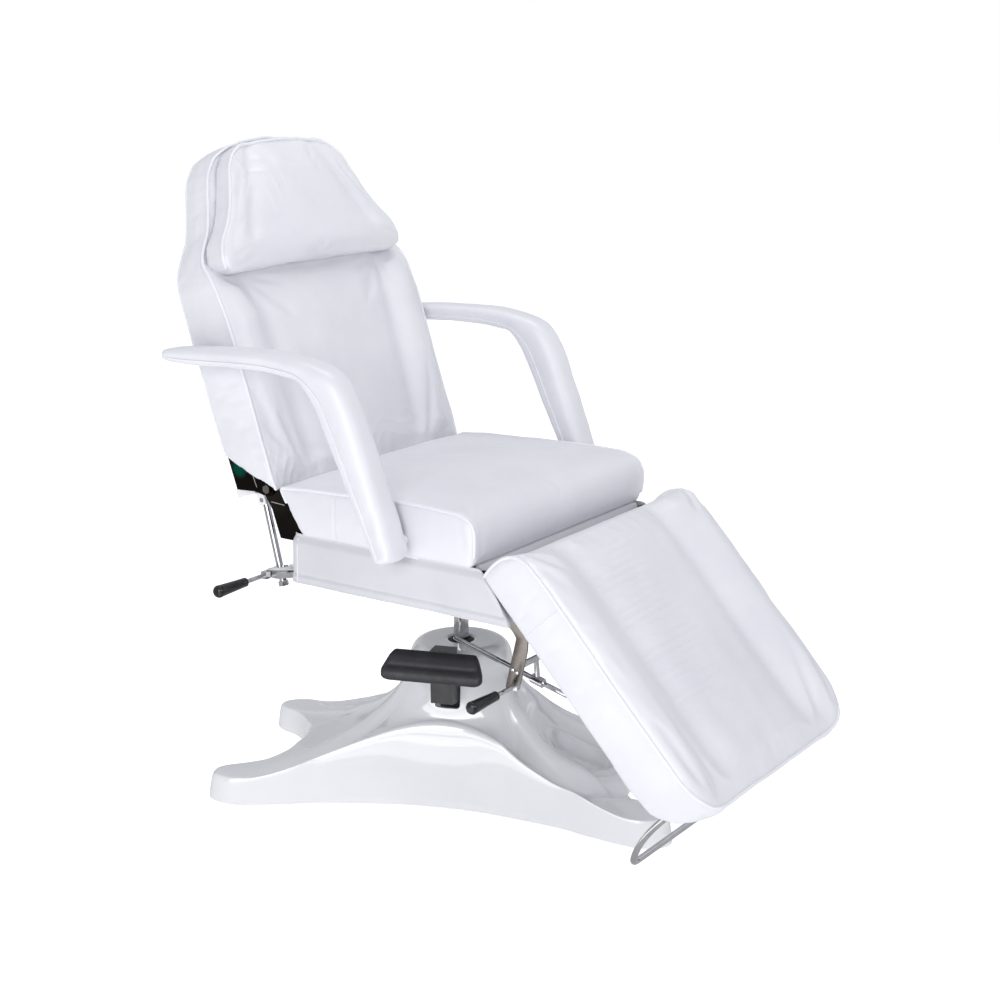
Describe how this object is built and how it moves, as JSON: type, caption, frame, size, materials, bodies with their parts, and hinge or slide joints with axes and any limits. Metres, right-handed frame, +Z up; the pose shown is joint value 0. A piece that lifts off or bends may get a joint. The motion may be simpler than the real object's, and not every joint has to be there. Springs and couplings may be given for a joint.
{
  "type": "hydraulic salon treatment chair",
  "caption": "Padded salon treatment chair: reclining back with head pillow, raising leg rest with foot bar, swinging armrests, swivelling pumped column and moulded base with pedal.",
  "frame": {"origin": "on the floor, on the axis of the lift column", "axes": "+Z up, -Y the way the sitter faces and the leg rest points, +X to the sitter's left"},
  "size_m": [0.798, 1.264, 1.2948],
  "materials": {
    "upholstery": "satin white vinyl leathercloth over foam",
    "plywood": "bare plywood",
    "shell": "glossy moulded white",
    "chrome": "bright chrome plate",
    "mirror_steel": "polished plate, darker than the rods",
    "frame_steel": "black powder coat",
    "white_steel": "white powder coat",
    "rubber": "matt black rubber",
    "grip": "satin black"
  },
  "bodies": {
    "base": {"base_cover": "shell", "base_beam_long": "frame_steel", "base_beam_front": "frame_steel", "base_beam_rear": "frame_steel", "foot_front_right": "rubber", "foot_front_left": "rubber", "foot_rear_right": "rubber", "foot_rear_left": "rubber", "pump_cylinder": "frame_steel", "column_seal": "rubber"},
    "pedal": {"pedal_arm": "frame_steel", "pedal_tread": "rubber"},
    "lift": {"piston": "chrome"},
    "seat": {"swivel_bearing": "frame_steel", "column_plate": "frame_steel", "seat_rail_right": "frame_steel", "seat_rail_left": "frame_steel", "seat_cross_front": "frame_steel", "seat_cross_rear": "frame_steel", "seat_board": "plywood", "seat_cushion": "upholstery", "skirt_right": "upholstery", "skirt_left": "upholstery", "skirt_rear": "upholstery", "skirt_front": "upholstery", "back_hinge_lower_right": "mirror_steel", "back_hinge_lower_left": "mirror_steel", "back_hinge_bolt_right": "chrome", "back_hinge_bolt_left": "chrome", "arm_bracket_right": "frame_steel", "arm_bracket_left": "frame_steel", "rear_lock_clamp": "mirror_steel", "front_lock_hanger": "mirror_steel", "front_lock_clamp": "mirror_steel"},
    "back": {"back_board": "plywood", "back_cushion": "upholstery", "head_pillow": "upholstery", "back_crossbar": "white_steel", "back_hinge_upper_right": "mirror_steel", "back_hinge_upper_left": "mirror_steel"},
    "rear_rod": {"rear_lock_rod": "chrome"},
    "leg": {"leg_board": "plywood", "leg_cushion": "upholstery", "leg_hinge_right": "mirror_steel", "leg_hinge_left": "mirror_steel", "leg_hinge_pin_right": "chrome", "leg_hinge_pin_left": "chrome", "foot_bar": "chrome", "leg_rod_bracket": "frame_steel"},
    "front_rod": {"front_lock_rod": "chrome"},
    "rear_release": {"rear_lever": "chrome", "rear_lever_grip": "grip"},
    "front_release": {"front_lever": "chrome", "front_lever_grip": "grip"},
    "armrest_left_pad": {"armrest_left": "upholstery"},
    "armrest_right_pad": {"armrest_right": "upholstery"}
  },
  "joints": [
    {"name": "column_lift", "type": "slide", "parent": "base", "child": "lift", "axis": [0, 0, 1], "range_m": [0, 0.16]},
    {"name": "seat_swivel", "type": "hinge", "parent": "lift", "child": "seat", "pos_m": [0, 0, 0.478], "axis": [0, 0, 1], "continuous": true},
    {"name": "back_recline", "type": "hinge", "parent": "seat", "child": "back", "pos_m": [0, 0.251, 0.648], "axis": [-1, 0, 0], "range_deg": [0, 70.9]},
    {"name": "rear_rod_swing", "type": "hinge", "parent": "back", "child": "rear_rod", "pos_m": [-0.25, 0.2966, 0.612], "axis": [1, 0, 0], "range_deg": [0, 97]},
    {"name": "leg_raise", "type": "hinge", "parent": "seat", "child": "leg", "pos_m": [0, -0.245, 0.555], "axis": [-1, 0, 0], "range_deg": [0, 46.6]},
    {"name": "front_rod_swing", "type": "hinge", "parent": "leg", "child": "front_rod", "pos_m": [-0.2, -0.4556, 0.3076], "axis": [1, 0, 0], "range_deg": [-5, 0]},
    {"name": "rear_release", "type": "hinge", "parent": "seat", "child": "rear_release", "pos_m": [-0.27, 0.284, 0.463], "axis": [0, 1, 0], "range_deg": [0, 10], "stiffness_Nm_per_rad": 4, "springref_deg": -5.73},
    {"name": "front_release", "type": "hinge", "parent": "seat", "child": "front_release", "pos_m": [-0.255, -0.275, 0.331], "axis": [0, 1, 0], "range_deg": [0, 8], "stiffness_Nm_per_rad": 4, "springref_deg": -5.73},
    {"name": "armrest_left_swing", "type": "hinge", "parent": "seat", "child": "armrest_left_pad", "pos_m": [0.35, -0.085, 0.604], "axis": [1, 0, 0], "range_deg": [0, 100]},
    {"name": "armrest_right_swing", "type": "hinge", "parent": "seat", "child": "armrest_right_pad", "pos_m": [-0.35, -0.085, 0.604], "axis": [1, 0, 0], "range_deg": [0, 100]},
    {"name": "pedal_press", "type": "hinge", "parent": "base", "child": "pedal", "pos_m": [-0.0865, -0.0315, 0.232], "axis": [0.342, -0.9397, 0], "range_deg": [0, 20], "stiffness_Nm_per_rad": 20, "springref_deg": -20.05}
  ],
  "couplings": [
    {"joint": "rear_rod_swing", "follows": "back_recline", "ratio": 1.3556},
    {"joint": "front_rod_swing", "follows": "leg_raise", "ratio": -0.1037}
  ]
}
